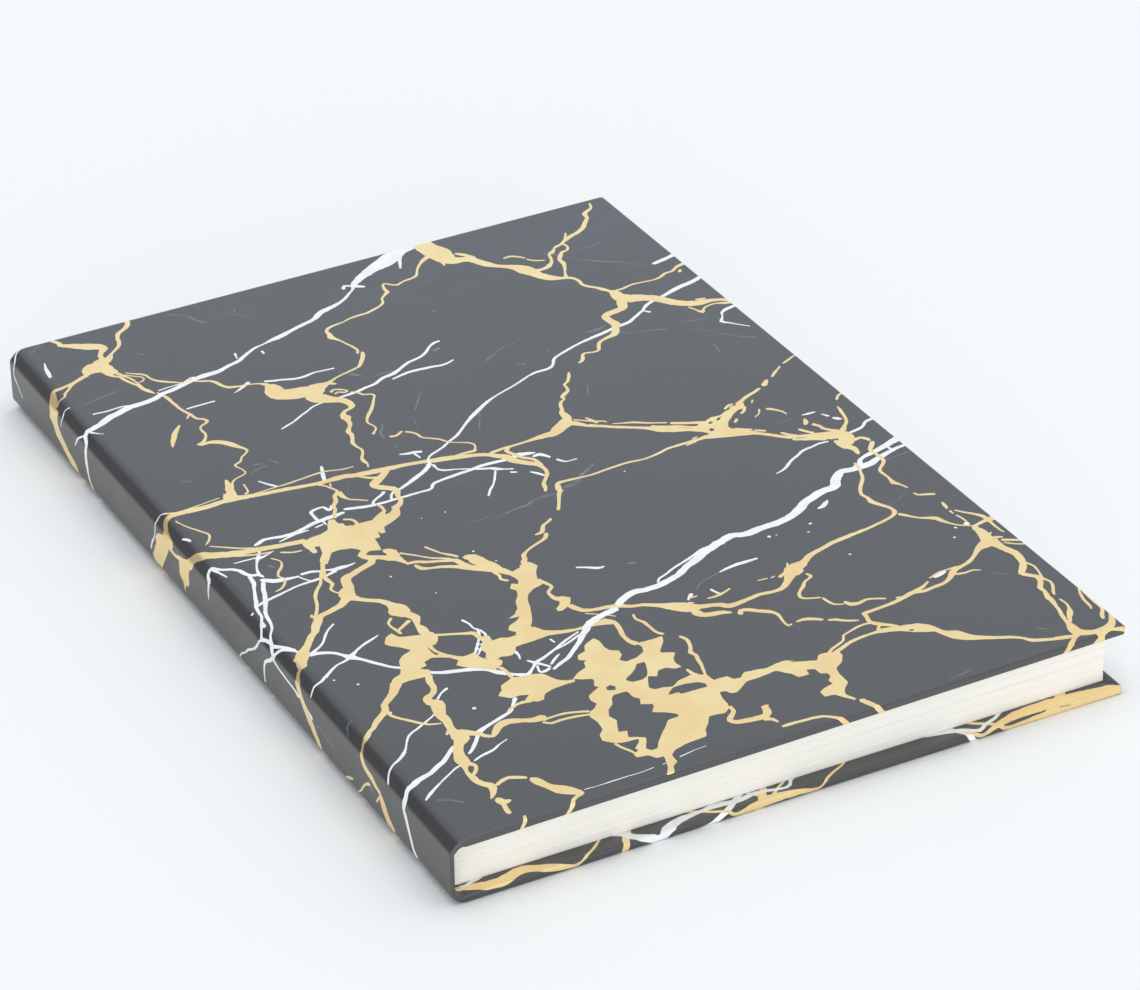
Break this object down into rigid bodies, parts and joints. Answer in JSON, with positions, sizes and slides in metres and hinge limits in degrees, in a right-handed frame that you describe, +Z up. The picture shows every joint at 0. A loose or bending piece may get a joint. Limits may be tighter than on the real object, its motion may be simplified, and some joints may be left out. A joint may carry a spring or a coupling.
{
  "type": "hardcover notebook",
  "caption": "Closed casebound notebook with a flat square spine, thin boards in a marbled paper wrap, and two covers that swing open.",
  "frame": {"origin": "middle of the back cover's outer face, on the surface the book lies on", "axes": "+X from the spine to the fore edge, +Y from the tail to the head, +Z up through the closed book towards the front cover"},
  "size_m": [0.148, 0.215, 0.0156],
  "materials": {
    "pages": "uncoated cream writing paper, cut edges",
    "endpaper": "uncoated off-white endpaper",
    "cover_wrap": "satin laminated print, marbled black, gold foil and white",
    "greyboard": "plain grey board",
    "spine_card": "plain card",
    "lining_cloth": "open weave book cloth"
  },
  "bodies": {
    "book_block": {"text_block": "pages", "spine_lining": "lining_cloth", "spine_board": "spine_card", "spine_wrap": "cover_wrap", "front_joint": "cover_wrap", "back_joint": "cover_wrap"},
    "front_cover": {"front_board": "greyboard", "front_wrap": "cover_wrap", "front_endpaper": "endpaper"},
    "back_cover": {"back_board": "greyboard", "back_wrap": "cover_wrap", "back_endpaper": "endpaper"}
  },
  "joints": [
    {"name": "front_cover_hinge", "type": "hinge", "parent": "book_block", "child": "front_cover", "pos_m": [-0.0731, 0, 0.0122], "axis": [0, -1, 0], "range_deg": [0, 180], "deforming": ["front_joint"]},
    {"name": "back_cover_hinge", "type": "hinge", "parent": "book_block", "child": "back_cover", "pos_m": [-0.0731, 0, 0.0018], "axis": [0, 1, 0], "range_deg": [0, 180], "deforming": ["back_joint"]}
  ]
}
